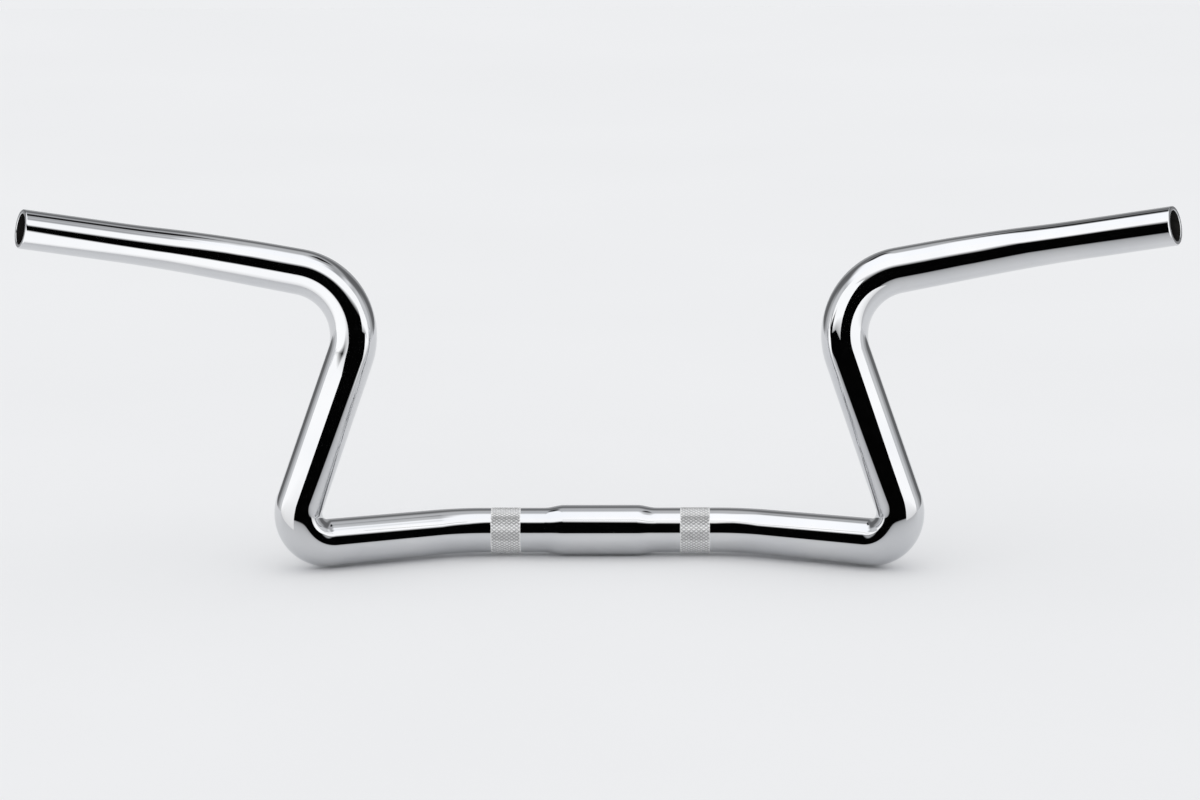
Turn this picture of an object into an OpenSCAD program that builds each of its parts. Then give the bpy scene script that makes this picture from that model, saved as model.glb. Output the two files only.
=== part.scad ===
// Z-bar handlebar: one chromed steel tube, bent and swaged, open at both ends.
// Origin in the middle of the clamp axis, +X to the right, +Y away from the rider, +Z up.

/* [Tube] */
// Wall thickness of the tube
wall = 2.35; // [1.6:0.05:3]
// Radius that rounds the outer edge of each open end
end_round = 0.7; // [0.2:0.1:1.2]
// Depth of the small chamfer at the mouth of each open end
mouth_chamfer = 0.4; // [0.2:0.1:0.8]

/* [Middle of the lower bar] */
// Diameter of the swollen land between the clamp seats
land_d = 28.6; // [27:0.1:31]
// Length of the swollen land
land_w = 47; // [36:1:56]
// Length of the rounded shoulder at each end of the land
shoulder_w = 6; // [4:0.5:8]
// Diameter of the clamp seats
seat_d = 25.4; // [24:0.1:26.5]
// Length of each clamp seat
seat_w = 34; // [28:1:40]

/* [Lower bar and corners] */
// Distance from the middle to where the lower bar turns back
bow_x = 80; // [78:1:84]
// Centreline radius of that gentle turn
bow_r = 75; // [60:1:78]
// Diameter of the tube in that turn
bow_d = 25.6; // [25.5:0.1:26.4]
// Distance between the two lower corners
corner_span = 355; // [340:1:380]
// How far the lower corners lie back towards the rider
corner_back = 41; // [30:1:46]
// Centreline radius of the lower corners
corner_r = 17.5; // [17:0.5:26]
// Diameter of the tube at the lower corners
corner_d = 27.2; // [26.5:0.1:28.5]

/* [Risers and necks] */
// Height of the upper corners above the clamp axis
neck_h = 143; // [125:1:180]
// Distance between the two upper corners
neck_span = 254; // [240:1:270]
// How far the upper corners lie back towards the rider
neck_back = 4; // [0:1:12]
// Centreline radius of the upper corners
neck_r = 37; // [32:1:42]
// Diameter of the tube at the upper corners
neck_d = 26.6; // [26:0.1:27.4]

/* [Arms and grips] */
// Sideways distance from an upper corner to the first gentle turn of its arm
knee_reach = 68; // [60:1:76]
// Height gained on the way to that turn
knee_lift = 13; // [9:0.5:17]
// Diameter of the tube in that turn
knee_in_d = 25.6; // [25:0.1:26.2]
// Sideways distance from the first gentle turn to the second
knee_gap = 34; // [30:1:40]
// Height gained between the two turns
knee_gap_lift = 7; // [4:0.5:10]
// How far the arm goes back towards the rider between the two turns
knee_gap_back = 5; // [3:0.5:7]
// Diameter of the tube in the second turn
knee_out_d = 24; // [23.4:0.1:24.6]
// Centreline radius of both turns
knee_r = 150; // [100:5:180]
// Distance between the middles of the two open ends
width = 643; // [620:1:700]
// Height of the open ends above the clamp axis
rise = 183.5; // [170:0.5:210]
// How far the open ends lie back towards the rider
pull_back = 46; // [36:1:60]
// Diameter of the grip seats
grip_d = 22.2; // [22:0.1:22.8]
// Length of each grip seat
grip_w = 68; // [50:1:76]

/* [Hidden] */

// How far a straight run reaches into the bend beside it, and how much it narrows on the way
lap = 0.6;
lap_step = 0.03;
// Steps that draw the curve of a shoulder
shoulder_steps = 10;
// Sizes worked out from the ones above
land_end = land_w / 2;
seat_start = land_end + shoulder_w;
seat_end = seat_start + seat_w;
chrome = [0.86, 0.87, 0.89];

// Corner points of the right half's centreline, from the middle outwards
neck = [neck_span / 2, -neck_back, neck_h];
knee_in = neck + [knee_reach, 0, knee_lift];
knee_out = knee_in + [knee_gap, -knee_gap_back, knee_gap_lift];
points = [
    [0, 0, 0],
    [bow_x, 0, 0],
    [corner_span / 2, -corner_back, 0],
    neck,
    knee_in,
    knee_out,
    [width / 2, -pull_back, rise]
];
// Centreline radius and tube diameter of the bend at each inner corner point
bend_r = [0, bow_r, corner_r, neck_r, knee_r, knee_r];
bend_d = [0, bow_d, corner_d, neck_d, knee_in_d, knee_out_d];
last = len(points) - 2;

function unit(v) = v / norm(v);
function fine(a) = round(a * 1000) / 1000;
// Direction of travel from corner point i to the next
function heading(i) = unit(points[i + 1] - points[i]);
// Angle that the bend at corner point i turns through
function turn(i) = fine(acos(heading(i - 1) * heading(i)));
// Straight length that this bend takes from each side of its corner point
function setback(i) = i < 1 || i > last ? 0 : bend_r[i] * tan(turn(i) / 2);
// Straight length left between two bends
function straight(i) = norm(points[i + 1] - points[i]) - setback(i) - setback(i + 1);
// Side of the tube that is inside the bend, before the bend and after it
function inner_side(i) = unit(heading(i) - heading(i - 1) * (heading(i) * heading(i - 1)));
function inner_side_after(i) = inner_side(i) * cos(turn(i)) - heading(i - 1) * sin(turn(i));
// Twist about the tube from the plane of the bend before to the plane of bend i
function twist(i) =
    let (from = i == 1 ? [0, 0, -1] : inner_side_after(i - 1), to = inner_side(i))
    atan2(cross(from, to) * heading(i - 1), from * to);

// Height of the shoulder's curve above the seat, from 0 at the seat to 1 at the land
function shoulder(t) = (1 - cos(180 * t)) / 2;

// Profile points that start a run of radius r inside the bend before it
function run_start(r) = [[0, -lap], [r - lap_step, -lap], [r + lap_step, 0]];

// A straight run that tapers from radius r0 to r1 and laps into the bends at both its ends
module run(length, r0, r1) {
    rotate_extrude($fn = 96)
        polygon(concat(
            run_start(r0),
            [[r1 + lap_step, length], [r1 - lap_step, length + lap], [0, length + lap]]
        ));
}

// A bend that starts at the origin, heads along +Z and turns towards +X
module bend(angle, r, tube_r) {
    translate([r, 0, 0])
        rotate([90, 0, 180])
            rotate_extrude(angle = angle, $fn = 160)
                translate([r, 0])
                    circle(r = tube_r, $fn = 96);
}

// Moves what follows to the end of a bend
module past_bend(angle, r) {
    translate([r, 0, 0])
        rotate([0, angle, 0])
            translate([-r, 0, 0])
                children();
}

// The middle of the lower bar, turned about the clamp axis: land, shoulders and seats
module middle(inset) {
    half = concat(
        [[0, land_d / 2 - inset], [land_end, land_d / 2 - inset]],
        [for (i = [1 : shoulder_steps - 1])
            let (t = i / shoulder_steps)
            [land_end + t * shoulder_w, seat_d / 2 + (land_d - seat_d) / 2 * shoulder(1 - t) - inset]],
        [[seat_start, seat_d / 2 - inset], [seat_end, seat_d / 2 - inset]],
        [[bow_start, bow_d / 2 - inset + lap_step], [bow_start + lap, bow_d / 2 - inset - lap_step]]
    );
    mirrored = [for (i = [len(half) - 1 : -1 : 1]) [-half[i][0], half[i][1]]];
    profile = concat([[-bow_start - lap, 0]], mirrored, half, [[bow_start + lap, 0]]);
    rotate([0, 90, 0])
        rotate_extrude($fn = 96)
            polygon([for (p = profile) [p[1], p[0]]]);
}
bow_start = bow_x - setback(1);

// The right half's bends and straight runs, from bend i outwards
module arm(i, inset) {
    r = bend_d[i] / 2 - inset;
    rotate([0, 0, twist(i)]) {
        bend(turn(i), bend_r[i], r);
        past_bend(turn(i), bend_r[i])
            if (i < last) {
                run(straight(i), r, bend_d[i + 1] / 2 - inset);
                translate([0, 0, straight(i)])
                    arm(i + 1, inset);
            } else {
                grip(straight(i), r, inset);
            }
    }
}

// The last run: swaged down to the grip seat, rounded at its end outside, chamfered inside
module grip(length, r0, inset) {
    r = grip_d / 2 - inset;
    swaged = concat(run_start(r0), [[r, length - grip_w]]);
    rotate_extrude($fn = 96)
        if (inset > 0) {
            polygon(concat(
                swaged,
                [[r, length - mouth_chamfer], [r + mouth_chamfer + 1, length + 1], [0, length + 1]]
            ));
        } else {
            polygon(concat(swaged, [[r, length - end_round], [0, length - end_round]]));
            square([r - end_round, length]);
            translate([r - end_round, length - end_round])
                circle(r = end_round, $fn = 32);
        }
}

// The whole tube as a solid bar, inset from the outer skin
module bar(inset) {
    middle(inset);
    for (side = [0, 1])
        mirror([side, 0, 0])
            translate([bow_start, 0, 0])
                rotate([0, 90, 0])
                    arm(1, inset);
}

module handlebar_tube() {
    color(chrome)
        difference() {
            bar(0);
            bar(wall);
        }
}

handlebar_tube();
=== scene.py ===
"""Z-bar handlebar: one chromed steel tube standing on a pale studio floor.

All sizes are in metres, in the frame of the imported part: origin in the middle of the clamp axis,
+X to the right, +Y away from the rider, +Z up.
"""

import math

import bpy
import numpy as np
from mathutils import Matrix, Vector


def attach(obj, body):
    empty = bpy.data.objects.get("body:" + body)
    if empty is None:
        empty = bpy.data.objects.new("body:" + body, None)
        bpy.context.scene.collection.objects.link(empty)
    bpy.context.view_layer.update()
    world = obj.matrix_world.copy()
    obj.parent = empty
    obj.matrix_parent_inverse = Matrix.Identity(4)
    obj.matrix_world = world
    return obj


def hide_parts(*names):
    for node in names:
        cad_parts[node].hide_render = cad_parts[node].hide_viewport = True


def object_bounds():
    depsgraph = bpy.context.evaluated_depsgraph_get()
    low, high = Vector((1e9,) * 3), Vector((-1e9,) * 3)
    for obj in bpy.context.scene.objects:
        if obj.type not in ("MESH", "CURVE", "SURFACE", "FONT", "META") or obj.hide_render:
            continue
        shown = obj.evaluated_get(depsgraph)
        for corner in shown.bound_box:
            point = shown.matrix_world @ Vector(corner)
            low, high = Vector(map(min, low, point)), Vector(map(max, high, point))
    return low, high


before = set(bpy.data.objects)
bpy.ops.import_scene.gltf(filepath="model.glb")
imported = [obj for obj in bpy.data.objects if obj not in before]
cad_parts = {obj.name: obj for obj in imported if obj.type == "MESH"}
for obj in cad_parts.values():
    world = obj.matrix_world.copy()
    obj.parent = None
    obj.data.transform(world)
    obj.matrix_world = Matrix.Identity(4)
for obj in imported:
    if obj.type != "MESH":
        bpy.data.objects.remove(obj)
cad_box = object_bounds()

# The tube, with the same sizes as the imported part
WALL = 0.00235
END_ROUND = 0.0007
MOUTH_ROUND = 0.0004
LAND_END = 0.0235
SEAT_START = 0.0295
SEAT_END = 0.0635
LAND_R, SEAT_R, GRIP_R = 0.0143, 0.0127, 0.0111
GRIP_LENGTH = 0.068
CORNERS = [
    (0, 0, 0),
    (0.080, 0, 0),
    (0.1775, -0.041, 0),
    (0.127, -0.004, 0.143),
    (0.195, -0.004, 0.156),
    (0.229, -0.009, 0.163),
    (0.3215, -0.046, 0.1835),
]
BEND_RADII = [0.075, 0.0175, 0.037, 0.150, 0.150]
BEND_TUBE_R = [0.0128, 0.0136, 0.0133, 0.0128, 0.0120]

# How finely the skin is drawn
SIDES = 160
BEND_STEP = math.radians(3.5)
RUN_STEP = 0.012
SHOULDER_RINGS = 12
RIM_STEP = 15
# How far each change of radius along the arms is softened, and the step it is worked out in
SOFTEN = 0.020
SHOULDER_SOFTEN = 0.0025
PROFILE_STEP = 0.0005
# How far to each side of a ring the slope of the tube is taken
SLOPE_STEP = 0.0002

# The rolled diamond grip on each clamp seat
KNURL_START, KNURL_END = 0.0455, 0.0625
KNURL_ROWS = 24
# How far the diamonds' points stand over the plain seat, and their grooves lie under it
KNURL_POINT, KNURL_GROOVE = 0.00026, 0.00012

# The studio
FLOOR_COLOUR = (0.855, 0.863, 0.879)
PAPER_SHADE = 0.985
FLOOR_FRONT, FLOOR_BACK, FLOOR_SIDE = -0.53, 2.4, 1.8
# Painted reflection shade: the share of the floor's colour kept in what the chrome reflects, by y from
# -FALL_REACH to FALL_REACH
FALL_REACH = 0.5
FLOOR_REFLECTION_SHADE = [(-FALL_REACH, 0.0), (-0.37, 0.0), (-0.30, 0.55), (-0.03, 1.0), (FALL_REACH, 1.0)]
# The colour of the light on the chrome, and its strength where SURROUNDINGS lays nothing
SHINE_COLOUR = (0.97, 0.98, 1, 1)
BARE_LIGHT = 0.5
# What the chrome sees around it, each laid over the ones before: the direction of its middle (0 is
# towards the camera, 90 to the right) and half its width, its lowest and highest elevation, how soft
# its edges are, all in degrees, and its light
SURROUNDINGS = [
    ((0, 180), (-90, 0), 4, 0.80),  # the room's pale floor
    ((180, 52), (-4, 26), 10, 0.45),  # the backdrop
    ((180, 75), (26, 46), 14, 0.20),  # the gap over it
    ((133, 16), (-4, 46), 14, 0.17),  # dark corners of the room
    ((-133, 16), (-4, 46), 14, 0.17),
    ((88, 14), (-2, 40), 14, 0.80),  # walls beside the camera
    ((-88, 14), (-2, 40), 14, 0.80),
    ((180, 180), (50, 90), 12, 0.65),  # the ceiling
    ((0, 100), (44, 90), 12, 1.40),  # the lamp over the camera
    ((-60, 90), (48, 90), 16, 1.42),
    ((180, 180), (74, 90), 12, 1.42),
    ((98, 26), (48, 64), 14, 0.50),  # its dimmer right end
    ((140, 14), (53, 65), 6, 0.02),  # rails that hold it
    ((-146, 14), (45, 57), 8, 0.02),
    ((0, 80), (-30, 22), 6, 0.001),  # the dark room behind the camera
    ((0, 54), (-30, 54), 6, 0.001),
]
# Lit cards that only the chrome sees, upright and facing it: how far forward each stands, and its
# columns of (x, z, light) from the bottom up
CARDS = [
    (-0.36, [  # the front of the lamp
        [(-1.5, 0.42, 0.0), (-1.5, 0.54, 1.4), (-1.5, 1.3, 1.4)],
        [(-0.10, 0.42, 0.0), (-0.10, 0.54, 1.4), (-0.10, 1.3, 1.4)],
        [(0.05, 0.34, 0.0), (0.05, 0.46, 1.4), (0.05, 1.3, 1.4)],
        [(1.5, 0.34, 0.0), (1.5, 0.46, 1.4), (1.5, 1.3, 1.4)],
    ]),
    (-0.10, [  # beside the left riser
        [(-1.5, -0.01, 0.95), (-1.5, 0.085, 1.4), (-1.5, 0.66, 1.4), (-1.5, 0.67, 0.0)],
        [(-0.30, -0.01, 0.95), (-0.30, 0.085, 1.4), (-0.30, 0.186, 1.4), (-0.30, 0.196, 0.0)],
        [(-0.215, -0.01, 0.95), (-0.20, 0.075, 1.4), (-0.20, 0.140, 1.4), (-0.20, 0.150, 0.0)],
        [(-0.196, -0.01, 0.95), (-0.168, 0.066, 1.4), (-0.149, 0.118, 1.4), (-0.165, 0.140, 1.0)],
    ]),
    (-0.10, [  # between the necks
        [(-0.040, 0.150, 0.5), (-0.035, 0.170, 1.4), (-0.030, 0.250, 1.4)],
        [(0.050, 0.150, 0.5), (0.050, 0.170, 1.4), (0.050, 0.250, 1.4)],
        [(0.103, 0.135, 0.5), (0.110, 0.160, 1.4), (0.118, 0.210, 1.4)],
    ]),
    (-0.20, [  # beside the right riser
        [(0.252, -0.01, 0.95), (0.236, 0.12, 1.4), (0.245, 0.55, 1.4)],
        [(1.5, -0.01, 0.95), (1.5, 0.12, 1.4), (1.5, 0.55, 1.4)],
    ]),
]

# The camera
CAMERA_AT = (0.07623, -2.95862, 0.68892)
CAMERA_AIM = (0.00071, -0.02196, 0.08037)
CAMERA_ROLL = -0.409
CAMERA_LENS = 159.37
CAMERA_CLIP = 30

CHROME, KNURL, BORE = 0, 1, 2


def unit(v):
    return v / np.linalg.norm(v)


def eased(t):
    """0 to 1 with no slope at either end."""
    return t * t * (3 - 2 * t)


# ---- the centreline ----


class Centreline:
    """The right half of the centreline, from the middle outwards: straight runs joined by bends."""

    def __init__(self, corners, radii):
        pts = [np.array(p, float) for p in corners]
        self.parts = []  # (distance at its start, length, first point, heading, way it turns, radius)
        self.bends = []  # (distance at its start, distance at its end)
        self.length, here = 0.0, pts[0]
        for before, corner, after, radius in zip(pts, pts[1:], pts[2:], radii):
            come, go = unit(corner - before), unit(after - corner)
            angle = math.acos(come @ go)
            back = radius * math.tan(angle / 2)
            self.add(np.linalg.norm(corner - come * back - here), here, come)
            start = self.length
            self.add(radius * angle, corner - come * back, come, unit(go - come * (go @ come)), radius)
            self.bends.append((start, self.length))
            here = corner + go * back
        self.add(np.linalg.norm(pts[-1] - here), here, unit(pts[-1] - here))

    def add(self, length, start, heading, inwards=None, radius=None):
        self.parts.append((self.length, length, start, heading, inwards, radius))
        self.length += length

    def at(self, s):
        """Point and heading at distance s from the middle. Below 0 it is the left half, headed alike."""
        for begin, length, start, heading, inwards, radius in self.parts:
            if abs(s) <= begin + length:
                break
        along = abs(s) - begin
        if radius:
            turn = along / radius
            point = start + radius * (math.sin(turn) * heading + (1 - math.cos(turn)) * inwards)
            heading = math.cos(turn) * heading + math.sin(turn) * inwards
        else:
            point = start + heading * along
        if s < 0:
            point, heading = point * (-1, 1, 1), heading * (1, -1, -1)
        return point, heading


line = Centreline(CORNERS, BEND_RADII)


def arm_profile():
    """Distances and outer radii from the shoulder outwards, with each change of radius softened."""
    marks = [(SEAT_START, SEAT_R), (SEAT_END, SEAT_R)]
    marks += [((begin + end) / 2, r) for (begin, end), r in zip(line.bends, BEND_TUBE_R)]
    marks += [(line.length - GRIP_LENGTH, GRIP_R), (line.length + SOFTEN, GRIP_R)]
    s = np.arange(SEAT_START, line.length + SOFTEN, PROFILE_STEP)
    reach = int(SOFTEN / PROFILE_STEP)
    window = np.hanning(2 * reach + 1)
    padded = np.pad(np.interp(s, *zip(*marks)), reach, mode="edge")
    return s, np.convolve(padded, window / window.sum(), mode="valid")


arm_distances, arm_radii = arm_profile()


def tube_radius(s):
    """Outer radius at distance s from the middle."""
    s = abs(s)
    start, end = LAND_END - SHOULDER_SOFTEN, SEAT_START + SHOULDER_SOFTEN
    if s < end:
        return LAND_R + (SEAT_R - LAND_R) * eased(max(0.0, s - start) / (end - start))
    return float(np.interp(s, arm_distances, arm_radii))


def tilt_of(s):
    """Angle by which the outer skin's normal leans forward at distance s, because the tube tapers."""
    rise = tube_radius(s + SLOPE_STEP) - tube_radius(s - SLOPE_STEP)
    return -math.atan2(rise, 2 * SLOPE_STEP)


# ---- the skin ----


def outer_rings():
    """(distance, knurled) of each ring of the right half's outer skin."""
    marks = [0, LAND_END - SHOULDER_SOFTEN, SEAT_START + SHOULDER_SOFTEN]
    marks += [KNURL_START, KNURL_END, SEAT_END]
    for bend in line.bends:
        marks += bend
    marks += [line.length - GRIP_LENGTH, line.length - END_ROUND]
    rings = [(0.0, False)]
    for a, b in zip(marks, marks[1:]):
        if a == KNURL_START:
            count = KNURL_ROWS
        elif a == LAND_END - SHOULDER_SOFTEN:
            count = SHOULDER_RINGS
        elif (a, b) in line.bends:
            count = math.ceil((b - a) / BEND_RADII[line.bends.index((a, b))] / BEND_STEP)
        else:
            count = math.ceil((b - a) / RUN_STEP)
        rings += [(a + (b - a) * i / count, a == KNURL_START and i < count) for i in range(1, count + 1)]
    return rings


def rim_rings():
    """Rings over the right end, from the outer skin round into the bore."""
    rings = []
    for deg in range(RIM_STEP, 91, RIM_STEP):
        t = math.radians(deg)
        rings.append((
            line.length - END_ROUND * (1 - math.sin(t)),
            GRIP_R - END_ROUND * (1 - math.cos(t)), t, False, CHROME,
        ))
    for deg in range(90, 181, RIM_STEP):
        t = math.radians(deg)
        rings.append((
            line.length - MOUTH_ROUND * (1 - math.sin(t)),
            GRIP_R - WALL + MOUTH_ROUND * (1 + math.cos(t)), t, False, CHROME,
        ))
    return rings


def skin_rings():
    """The closed skin's rings: (distance, radius, tilt of the normal, knurled, next band's material)."""
    right = outer_rings()
    both = [(-s, k) for s, k in right[:0:-1]] + right
    outer = []
    for i, (s, knurled) in enumerate(both):
        in_band = knurled or both[min(i + 1, len(both) - 1)][1]
        outer.append((s, tube_radius(s), tilt_of(s), knurled, KNURL if in_band else CHROME))
    rim = rim_rings()
    bore = [
        (s, tube_radius(s) - WALL, math.pi - tilt_of(s), False, BORE)
        for s, knurled in both[-2:0:-1] if not knurled
    ]
    left_rim = [(-s, r, -t, False, CHROME) for s, r, t, _, _ in rim[::-1]]
    rim[-1] = (*rim[-1][:4], BORE)
    return outer + rim + bore + left_rim


def cross_sections(distances):
    """Centre, side, up and heading at each distance, turned as little as possible along the tube."""
    found = {}
    for way in (1, -1):
        side = np.array((0.0, 1.0, 0.0))
        for s in sorted((d for d in distances if d * way >= 0), key=abs):
            centre, heading = line.at(s)
            side = unit(side - heading * (side @ heading))
            found[s] = centre, side, np.cross(heading, side), heading
    return found


def make_skin(name, rings):
    sections = cross_sections({r[0] for r in rings})
    turn = np.arange(SIDES) * 2 * math.pi / SIDES
    points, normals, grooves = [], [], []
    column = np.arange(SIDES)
    for row, (s, radius, tilt, knurled, _) in enumerate(rings):
        centre, side, up, heading = sections[s]
        outwards = np.outer(np.cos(turn), side) + np.outer(np.sin(turn), up)
        # four-sided points in staggered rows, each two rings and two columns from its grooves
        crossing = (row + column) % 2
        point = np.where(crossing, 0.5, (row % 2 == 0) & ((row + column) % 4 == 0)) * knurled
        # how deep in the grooves each point lies, which the knurl material turns into painted shade
        grooves += ((1 - point) * knurled).tolist()
        height = point * (KNURL_POINT + KNURL_GROOVE) - knurled * KNURL_GROOVE
        points.append(centre + outwards * (radius + height)[:, None])
        normals.append(outwards * math.cos(tilt) + heading * math.sin(tilt))
    points, normals = np.concatenate(points), np.concatenate(normals)

    faces, materials = [], []
    for row, (_, _, _, _, material) in enumerate(rings):
        here, there = row * SIDES, (row + 1) % len(rings) * SIDES
        for j in range(SIDES):
            k = (j + 1) % SIDES
            a, b, c, d = here + j, here + k, there + k, there + j
            if material != KNURL:
                made = [(a, b, c, d)]
            elif (row + j) % 2 == 0:
                made = [(a, b, c), (a, c, d)]
            else:
                made = [(a, b, d), (b, c, d)]
            faces += made
            materials += [material] * len(made)
    mesh = bpy.data.meshes.new(name)
    mesh.from_pydata(points.tolist(), [], faces)
    mesh.polygons.foreach_set("material_index", materials)
    mesh.polygons.foreach_set("use_smooth", [material != KNURL for material in materials])
    loop_normals = []
    for face, material in zip(faces, materials):
        if material == KNURL:
            p = points[list(face)]
            loop_normals += [unit(np.cross(p[1] - p[0], p[2] - p[0]))] * 3
        else:
            loop_normals += [normals[v] for v in face]
    mesh.normals_split_custom_set(loop_normals)
    mesh.attributes.new("groove_shade", "FLOAT", "POINT").data.foreach_set("value", grooves)
    mesh.update()
    obj = bpy.data.objects.new(name, mesh)
    bpy.context.scene.collection.objects.link(obj)
    return obj


# ---- materials ----


class Material:
    """A Principled material with short ways to add nodes."""

    def __init__(self, name, **constants):
        self.made = bpy.data.materials.new(name)
        self.made.use_nodes = True
        self.tree = self.made.node_tree
        self.shader = self.tree.nodes["Principled BSDF"]
        for socket, value in constants.items():
            self.shader.inputs[socket.replace("_", " ")].default_value = value
        self.coords = self.add("ShaderNodeTexCoord").outputs["Object"]

    def add(self, kind, **settings):
        node = self.tree.nodes.new(kind)
        for key, value in settings.items():
            setattr(node, key, value)
        return node

    def link(self, output, node, socket):
        self.tree.links.new(output, node.inputs[socket])

    def noise(self, scale, detail=4, stretch=(1, 1, 1)):
        """Noise of about scale per metre."""
        mapping = self.add("ShaderNodeMapping")
        mapping.inputs["Scale"].default_value = stretch
        self.link(self.coords, mapping, "Vector")
        noise = self.add("ShaderNodeTexNoise")
        noise.inputs["Scale"].default_value = scale
        noise.inputs["Detail"].default_value = detail
        self.link(mapping.outputs["Vector"], noise, "Vector")
        return noise.outputs["Fac"]

    def between(self, fac, low, high, start=0.3, end=0.7):
        """Map fac from start..end to low..high: numbers, or colours."""
        if isinstance(low, tuple):
            ramp = self.add("ShaderNodeValToRGB")
            first, last = ramp.color_ramp.elements
            first.position, last.position = start, end
            first.color, last.color = (*low, 1), (*high, 1)
            self.link(fac, ramp, "Fac")
            return ramp.outputs["Color"]
        reach = self.add("ShaderNodeMapRange")
        for socket, value in zip(("From Min", "From Max", "To Min", "To Max"), (start, end, low, high)):
            reach.inputs[socket].default_value = value
        self.link(fac, reach, "Value")
        return reach.outputs["Result"]

    def product(self, first, second, share=1.0):
        """The product of two colours, mixed in by share: a number or an output."""
        mixed = self.add("ShaderNodeMix", data_type="RGBA", blend_type="MULTIPLY")
        if isinstance(share, float):
            mixed.inputs[0].default_value = share
        else:
            self.link(share, mixed, 0)
        self.link(first, mixed, 6)
        self.link(second, mixed, 7)
        return mixed.outputs[2]

    def bump(self, height, depth, strength=1.0):
        bump = self.add("ShaderNodeBump")
        bump.inputs["Distance"].default_value = depth
        bump.inputs["Strength"].default_value = strength
        self.link(height, bump, "Height")
        self.link(bump.outputs["Normal"], self.shader, "Normal")


def chrome_material():
    """Bright plating: clean, with a faint haze that comes and goes."""
    m = Material("chrome", Metallic=1.0)
    tint = m.between(m.noise(22), (0.645, 0.655, 0.675), (0.70, 0.705, 0.715))
    m.link(tint, m.shader, "Base Color")
    m.link(m.between(m.noise(160, 6), 0.012, 0.045), m.shader, "Roughness")
    return m.made


def knurl_material():
    """Plating over the sharp points, which scatters part of the light, with painted shade that darkens
    its colour in the grooves.
    """
    m = Material("chrome_knurl", Metallic=0.35)
    groove_shade = m.add("ShaderNodeAttribute", attribute_name="groove_shade").outputs["Fac"]
    # painted shade: the base colour darkens from the points down into the grooves
    painted_groove_shade = m.between(groove_shade, (0.86, 0.865, 0.87), (0.38, 0.38, 0.385), 0.45, 1.0)
    wear = m.between(m.noise(420, 5), (0.86, 0.86, 0.86), (1, 1, 1))
    m.link(m.product(painted_groove_shade, wear), m.shader, "Base Color")
    m.link(m.between(m.noise(900, 3), 0.05, 0.14), m.shader, "Roughness")
    return m.made


def bore_material():
    """Bare drawn steel inside the tube, dull and a little stained, its colour kept near black as painted
    shade inside the bore.
    """
    m = Material("bore_steel", Metallic=0.6)
    # painted shade: a near-black colour for the shade inside the bore, with faint stained mottling
    stain_and_bore_shade = m.between(m.noise(140, 6), (0.010, 0.009, 0.009), (0.030, 0.028, 0.027))
    m.link(stain_and_bore_shade, m.shader, "Base Color")
    m.shader.inputs["Specular IOR Level"].default_value = 0.2
    rough = m.noise(700, 4)
    m.link(m.between(rough, 0.45, 0.75), m.shader, "Roughness")
    m.bump(rough, 0.0001, 0.5)
    return m.made


# ---- the piece ----

tube = make_skin("handlebar_chrome", skin_rings())
for made in (chrome_material(), knurl_material(), bore_material()):
    tube.data.materials.append(made)
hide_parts("handlebar_tube")
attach(tube, "root")


# ---- the studio ----


def make_floor(level):
    """A pale table that ends a little in front of the camera's view."""
    mesh = bpy.data.meshes.new("floor")
    corners = [
        (-FLOOR_SIDE, FLOOR_FRONT), (FLOOR_SIDE, FLOOR_FRONT),
        (FLOOR_SIDE, FLOOR_BACK), (-FLOOR_SIDE, FLOOR_BACK),
    ]
    mesh.from_pydata([(x, y, level) for x, y in corners], [], [(0, 1, 2, 3)])
    m = Material("floor_paper", Roughness=0.9)
    shade = tuple(c * PAPER_SHADE for c in FLOOR_COLOUR)
    paper = m.between(m.noise(3, 2), shade, FLOOR_COLOUR)
    # painted reflection shade: for glossy rays only, the floor's colour is darkened towards the front,
    # so the chrome reflects it dark there
    split = m.add("ShaderNodeSeparateXYZ")
    m.link(m.coords, split, "Vector")
    painted_reflection_shade = m.add("ShaderNodeFloatCurve")
    m.link(m.between(split.outputs["Y"], 0.0, 1.0, -FALL_REACH, FALL_REACH), painted_reflection_shade, "Value")
    curve = painted_reflection_shade.mapping.curves[0]
    for point, (y, value) in zip(curve.points, FLOOR_REFLECTION_SHADE[::len(FLOOR_REFLECTION_SHADE) - 1]):
        point.location = y + FALL_REACH, value
    for y, value in FLOOR_REFLECTION_SHADE[1:-1]:
        curve.points.new(y + FALL_REACH, value)
    for point in curve.points:
        point.handle_type = "VECTOR"
    painted_reflection_shade.mapping.update()
    glossy = m.add("ShaderNodeLightPath").outputs["Is Glossy Ray"]
    m.link(m.product(paper, painted_reflection_shade.outputs[0], glossy), m.shader, "Base Color")
    m.shader.inputs["Specular IOR Level"].default_value = 0.0
    mesh.materials.append(m.made)
    floor = bpy.data.objects.new("floor", mesh)
    bpy.context.scene.collection.objects.link(floor)


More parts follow.
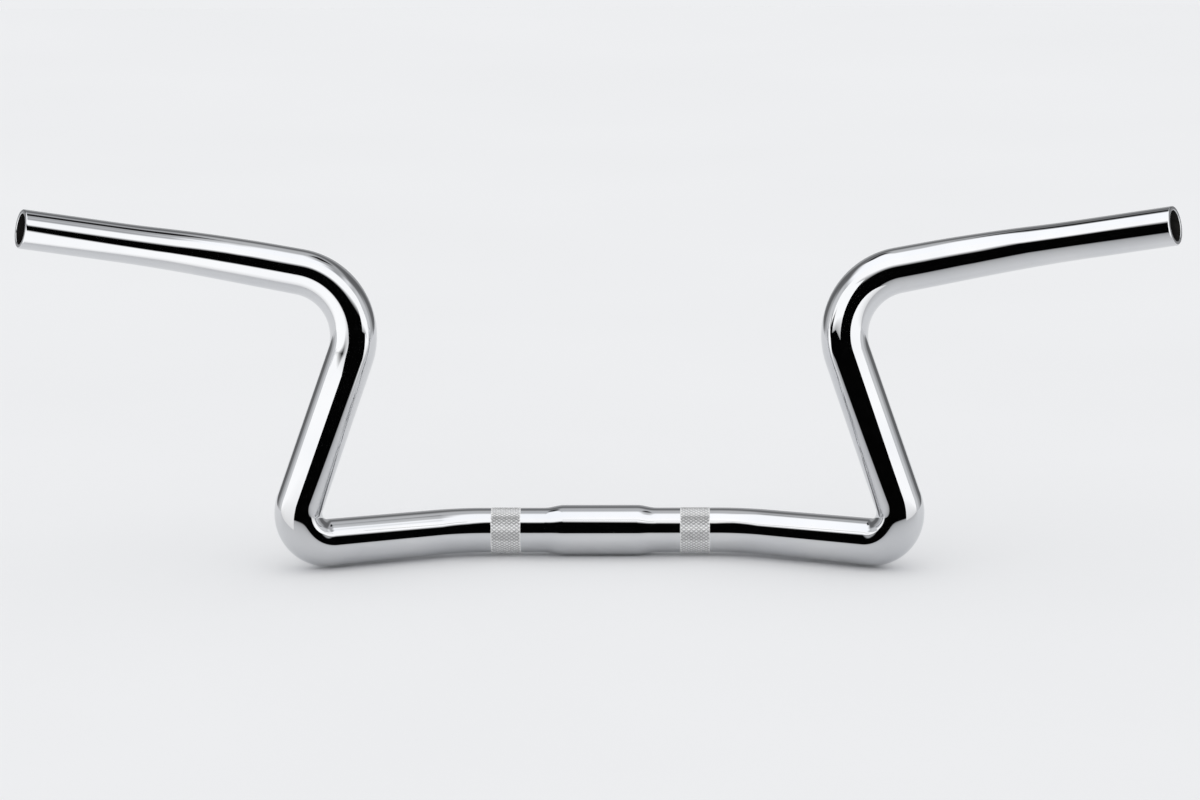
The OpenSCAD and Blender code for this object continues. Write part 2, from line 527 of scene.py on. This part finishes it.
def make_cards():
    """Lit cards in front of the handlebar, which only the chrome sees."""
    lit = bpy.data.materials.new("card_white")
    lit.use_nodes = True
    tree = lit.node_tree
    tree.nodes.clear()
    strength = tree.nodes.new("ShaderNodeAttribute")
    strength.attribute_name = "light"
    glow = tree.nodes.new("ShaderNodeEmission")
    out = tree.nodes.new("ShaderNodeOutputMaterial")
    tree.links.new(strength.outputs["Fac"], glow.inputs["Strength"])
    tree.links.new(glow.outputs[0], out.inputs["Surface"])
    for y, columns in CARDS:
        mesh = bpy.data.meshes.new("card")
        rows = len(columns[0])
        corners = [corner for column in columns for corner in column]
        faces = [
            (c * rows + r, c * rows + r + 1, (c + 1) * rows + r + 1, (c + 1) * rows + r)
            for c in range(len(columns) - 1) for r in range(rows - 1)
        ]
        mesh.from_pydata([(x, y, z) for x, z, _ in corners], [], faces)
        lights = mesh.attributes.new("light", "FLOAT", "POINT")
        lights.data.foreach_set("value", [light for _, _, light in corners])
        mesh.materials.append(lit)
        card = bpy.data.objects.new("card", mesh)
        card.visible_camera = card.visible_diffuse = False
        card.visible_shadow = card.visible_transmission = False
        bpy.context.scene.collection.objects.link(card)


def make_world():
    """Pale to the camera, plain white light on what is dull, lamps and walls on what shines."""
    world = bpy.data.worlds.new("studio")
    bpy.context.scene.world = world
    world.use_nodes = True
    tree = world.node_tree
    tree.nodes.clear()

    def add(kind, **settings):
        node = tree.nodes.new(kind)
        for key, value in settings.items():
            setattr(node, key, value)
        return node

    def feed(node, values):
        for i, value in enumerate(values):
            if isinstance(value, bpy.types.NodeSocket):
                tree.links.new(value, node.inputs[i])
            else:
                node.inputs[i].default_value = value

    def math_node(operation, *values):
        node = add("ShaderNodeMath", operation=operation)
        feed(node, values)
        return node.outputs[0]

    def ramp(value, start, end, low=0.0, high=1.0):
        node = add("ShaderNodeMapRange", interpolation_type="SMOOTHSTEP")
        feed(node, (value, start, end, low, high))
        return node.outputs[0]

    split = add("ShaderNodeSeparateXYZ")
    tree.links.new(add("ShaderNodeTexCoord").outputs["Generated"], split.inputs[0])
    x, y, z = split.outputs
    height = math_node("MULTIPLY", math_node("ARCSINE", z), 180 / math.pi)
    # 0 towards the camera's side, positive to the right
    towards = math_node("MULTIPLY", y, -1.0)
    around = math_node("MULTIPLY", math_node("ARCTAN2", x, towards), 180 / math.pi)

    light = BARE_LIGHT
    for (middle, reach), (low, high), edge, brightness in SURROUNDINGS:
        turned = math_node("WRAP", math_node("SUBTRACT", around, middle), 180.0, -180.0)
        inside = ramp(math_node("ABSOLUTE", turned), reach - edge / 2, reach + edge / 2, 1.0, 0.0)
        if reach == 180:
            inside = 1.0
        above = ramp(height, low - edge / 2, low + edge / 2)
        below = ramp(height, high - edge / 2, high + edge / 2, 1.0, 0.0) if high < 90 else 1.0
        mask = math_node("MULTIPLY", math_node("MULTIPLY", inside, above), below)
        gain = math_node("MULTIPLY", mask, math_node("SUBTRACT", brightness, light))
        light = math_node("ADD", light, gain)

    def background(colour, strength):
        node = add("ShaderNodeBackground")
        feed(node, (colour, strength))
        return node.outputs[0]

    path = add("ShaderNodeLightPath")
    seen = math_node("MAXIMUM", path.outputs["Is Camera Ray"], path.outputs["Is Transmission Ray"])
    by_shine = add("ShaderNodeMixShader")
    plain, shine = background((1, 1, 1, 1), 1.0), background(SHINE_COLOUR, light)
    feed(by_shine, (path.outputs["Is Glossy Ray"], plain, shine))
    by_camera = add("ShaderNodeMixShader")
    feed(by_camera, (seen, by_shine.outputs[0], background((*FLOOR_COLOUR, 1), 1.0)))
    out = add("ShaderNodeOutputWorld")
    tree.links.new(by_camera.outputs[0], out.inputs["Surface"])


def make_camera():
    camera = bpy.data.objects.new("camera", bpy.data.cameras.new("camera"))
    bpy.context.scene.collection.objects.link(camera)
    camera.data.lens = CAMERA_LENS
    camera.data.clip_end = CAMERA_CLIP
    facing = (Vector(CAMERA_AIM) - Vector(CAMERA_AT)).to_track_quat("-Z", "Y").to_matrix().to_4x4()
    camera.matrix_world = (
        Matrix.Translation(CAMERA_AT) @ facing @ Matrix.Rotation(math.radians(CAMERA_ROLL), 4, "Z")
    )
    bpy.context.scene.camera = camera


make_floor(cad_box[0].z)
make_cards()
make_world()
make_camera()
bpy.context.scene.view_settings.view_transform = "Standard"
